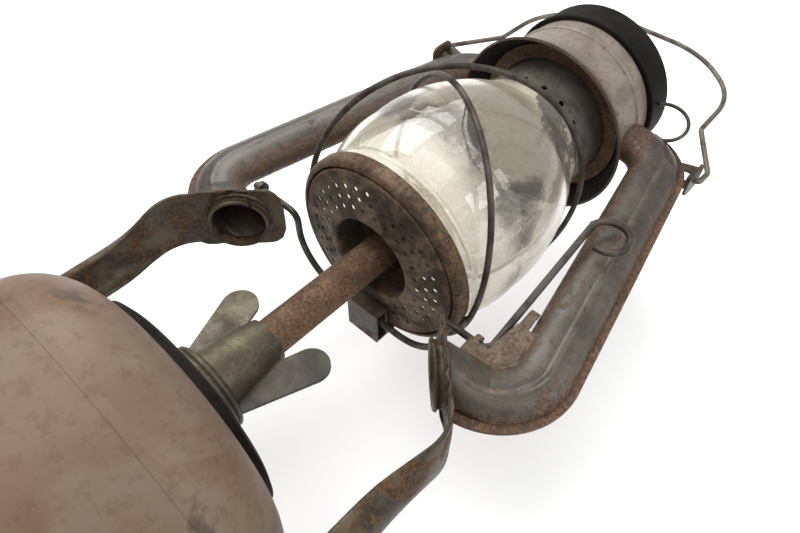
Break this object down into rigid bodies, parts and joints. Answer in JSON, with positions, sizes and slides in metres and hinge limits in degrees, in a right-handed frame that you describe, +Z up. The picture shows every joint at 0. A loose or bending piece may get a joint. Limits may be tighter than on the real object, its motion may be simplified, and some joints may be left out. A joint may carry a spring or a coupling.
{
  "type": "railway lantern",
  "caption": "Tubular railway lantern with side air tubes, wire-guarded glass globe on a lifting plate, drop-out oil font with winged burner collar, hood and bail.",
  "frame": {"origin": "centre of the base on the ground, on the lantern's axis", "axes": "+Z up the lantern's axis, +X towards the side tube that carries the lever, -Y the front"},
  "size_m": [0.2006, 0.1484, 0.4113],
  "materials": {
    "aged_tin": "dark oxidised tin plate with rust",
    "font_steel": "brown rusted steel with bare patches",
    "hood_steel": "grey tin plate with light rust",
    "sooty_steel": "black heat-darkened steel",
    "plate_steel": "dark brown pressed steel",
    "rusty_tube": "fine speckled rust",
    "aged_brass": "olive patina",
    "dark_wire": "dull dark wire",
    "bright_wire": "dull grey wire",
    "globe_glass": "clear blown glass with haze",
    "wick_cotton": "woven cotton",
    "gasket": "dark pressed leather"
  },
  "bodies": {
    "frame": {"base_ring": "aged_tin", "right_arm": "aged_tin", "left_arm": "aged_tin", "arm_rivets": "aged_tin", "right_tube_front": "aged_tin", "right_tube_back": "aged_tin", "left_tube_front": "aged_tin", "left_tube_back": "aged_tin", "hood_barrel": "hood_steel", "hood_cap": "sooty_steel", "bell_guide_ring": "rusty_tube", "hood_stay_wire": "dark_wire", "right_bail_ear": "aged_tin", "left_bail_ear": "aged_tin", "left_eyelet": "dark_wire", "lever_bracket": "rusty_tube"},
    "font": {"font_cup": "font_steel", "font_dome": "font_steel", "font_top_disc": "sooty_steel", "font_neck": "aged_brass", "neck_gasket": "gasket"},
    "burner": {"winged_collar": "aged_brass", "riser_tube": "rusty_tube", "wick_tube": "aged_brass", "wick": "wick_cotton", "burner_cup": "aged_brass", "burner_cone": "aged_brass"},
    "globe_carrier": {"plate_ring": "plate_steel", "globe_plate": "plate_steel", "globe": "globe_glass", "bell": "hood_steel", "guard_hoop_outer": "dark_wire", "guard_hoop_inner": "dark_wire", "hinge_clip": "sooty_steel"},
    "lift_lever": {"lift_lever": "dark_wire"},
    "bail": {"bail": "bright_wire"}
  },
  "joints": [
    {"name": "font_drop", "type": "slide", "parent": "frame", "child": "font", "axis": [0, 0, -1], "range_m": [0, 0.125]},
    {"name": "burner_twist", "type": "hinge", "parent": "font", "child": "burner", "pos_m": [0, 0, 0.09], "axis": [0, 0, 1], "range_deg": [0, 45]},
    {"name": "globe_lift", "type": "slide", "parent": "frame", "child": "globe_carrier", "axis": [0, 0, 1], "range_m": [0, 0.015]},
    {"name": "lever_swing", "type": "hinge", "parent": "frame", "child": "lift_lever", "pos_m": [0, 0, 0.1685], "axis": [1, 0, 0], "range_deg": [0, 26]},
    {"name": "bail_swing", "type": "hinge", "parent": "frame", "child": "bail", "pos_m": [0, 0, 0.309], "axis": [1, 0, 0], "range_deg": [-110, 110]}
  ],
  "couplings": [
    {"joint": "lever_swing", "follows": "globe_lift", "rad_per_m": 30.2}
  ]
}
